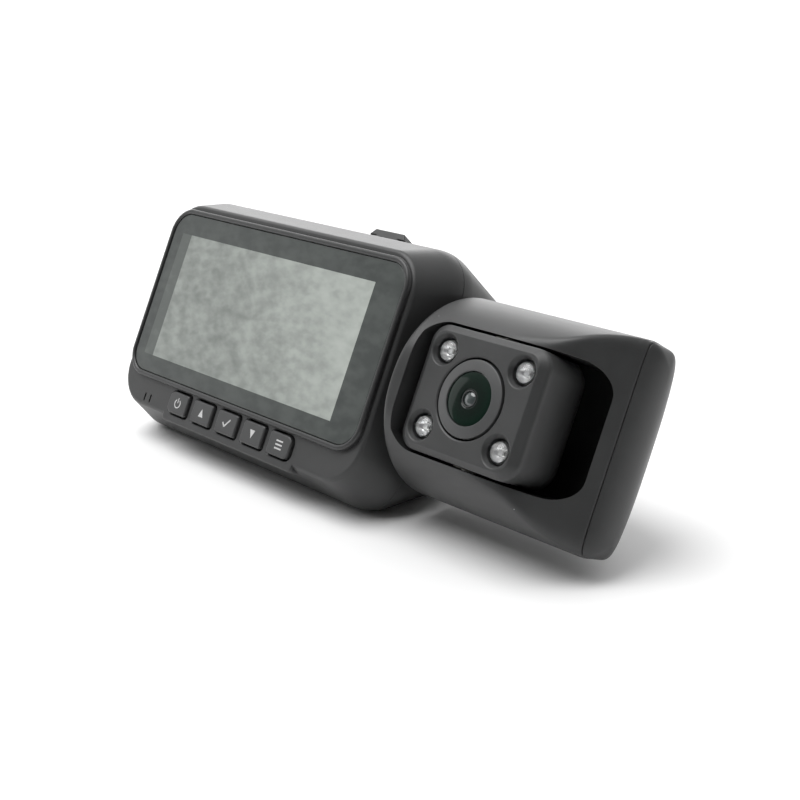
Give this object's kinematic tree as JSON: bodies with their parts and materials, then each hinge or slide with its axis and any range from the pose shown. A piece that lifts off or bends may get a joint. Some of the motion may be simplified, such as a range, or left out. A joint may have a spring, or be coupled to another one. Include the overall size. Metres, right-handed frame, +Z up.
{
  "type": "dash camera",
  "caption": "Dash camera with a wide screen body, a row of buttons under the screen, and a tilting side barrel that holds a panning cabin camera head with infrared lamps.",
  "frame": {"origin": "middle of the flat underside of the screen body, which rests on z = 0", "axes": "+X along the body towards the end of the barrel, -Y the side that the screen faces, +Z up; the screen leans back 25.6 degrees, as it does when the camera rests on its underside"},
  "size_m": [0.1408, 0.0493, 0.0546],
  "materials": {
    "housing": "fine spark texture",
    "bezel": "satin",
    "rail": "fine spark texture",
    "screen_glass": "clear over a dark printed border",
    "display": "switched off",
    "diffuser": "white film",
    "steel": "nickel plated",
    "inner_plastic": "as moulded",
    "board": "solder mask",
    "chip": "moulded package",
    "aluminium": "extruded",
    "button": "satin",
    "capacitor_sleeve": "shrink sleeve",
    "card": "satin",
    "gloss_trim": "polished",
    "lens_glass": "coated",
    "lens_coating": "coated",
    "head": "fine spark texture",
    "lens_ring": "satin",
    "washer": "natural",
    "lamp": "clear epoxy"
  },
  "bodies": {
    "body": {"front_housing": "housing", "rear_housing": "housing", "top_cover": "housing", "mount_rail": "rail", "screen_bezel": "bezel", "cover_glass": "screen_glass", "lcd_panel": "display", "backlight": "diffuser", "display_tray": "steel", "mid_frame": "inner_plastic", "main_board": "board", "processor": "chip", "memory_chips": "chip", "heat_spreader": "aluminium", "button_board": "board", "tact_switches": "steel", "speaker": "inner_plastic", "microphone": "steel", "supercapacitors": "capacitor_sleeve", "card_socket": "steel", "usb_port": "steel", "usb_tongue": "inner_plastic", "road_lens_ring": "gloss_trim", "road_lens_barrel": "inner_plastic", "road_lens_glass": "lens_glass", "road_lens_core": "lens_coating", "road_sensor_board": "board", "case_screws": "steel"},
    "barrel": {"barrel_housing": "housing", "barrel_end_cap": "housing", "tilt_hub": "inner_plastic", "hub_screws": "steel", "tilt_washer": "steel", "hub_clip": "steel"},
    "head": {"head_shell": "head", "head_back": "head", "head_pivots": "steel", "pivot_washers": "washer", "cabin_lens_ring": "lens_ring", "cabin_lens_glass": "lens_glass", "cabin_lens_core": "lens_coating", "cabin_lens_barrel": "inner_plastic", "cabin_sensor_board": "board", "ir_leds": "lamp", "ir_board": "board"},
    "power_key": {"power_button": "button"},
    "up_key": {"up_button": "button"},
    "select_key": {"select_button": "button"},
    "down_key": {"down_button": "button"},
    "menu_key": {"menu_button": "button"},
    "card": {"memory_card": "card"}
  },
  "joints": [
    {"name": "barrel_tilt", "type": "hinge", "parent": "body", "child": "barrel", "pos_m": [0.0438, 0.00642, 0.0245], "axis": [1, 0, 0], "range_deg": [-90, 90]},
    {"name": "head_pan", "type": "hinge", "parent": "barrel", "child": "head", "pos_m": [0.0674, -0.0041, 0.02987], "axis": [0, 0.4321, 0.9018], "range_deg": [-30, 60]},
    {"name": "power_press", "type": "slide", "parent": "body", "child": "power_key", "axis": [0, 0.9018, -0.4321], "range_m": [0, 0.0005], "stiffness_N_per_m": 2000, "springref_m": -0.0002},
    {"name": "up_press", "type": "slide", "parent": "body", "child": "up_key", "axis": [0, 0.9018, -0.4321], "range_m": [0, 0.0005], "stiffness_N_per_m": 2000, "springref_m": -0.0002},
    {"name": "select_press", "type": "slide", "parent": "body", "child": "select_key", "axis": [0, 0.9018, -0.4321], "range_m": [0, 0.0005], "stiffness_N_per_m": 2000, "springref_m": -0.0002},
    {"name": "down_press", "type": "slide", "parent": "body", "child": "down_key", "axis": [0, 0.9018, -0.4321], "range_m": [0, 0.0005], "stiffness_N_per_m": 2000, "springref_m": -0.0002},
    {"name": "menu_press", "type": "slide", "parent": "body", "child": "menu_key", "axis": [0, 0.9018, -0.4321], "range_m": [0, 0.0005], "stiffness_N_per_m": 2000, "springref_m": -0.0002},
    {"name": "card_slide", "type": "slide", "parent": "body", "child": "card", "axis": [-1, 0, 0], "range_m": [0, 0.018]}
  ]
}
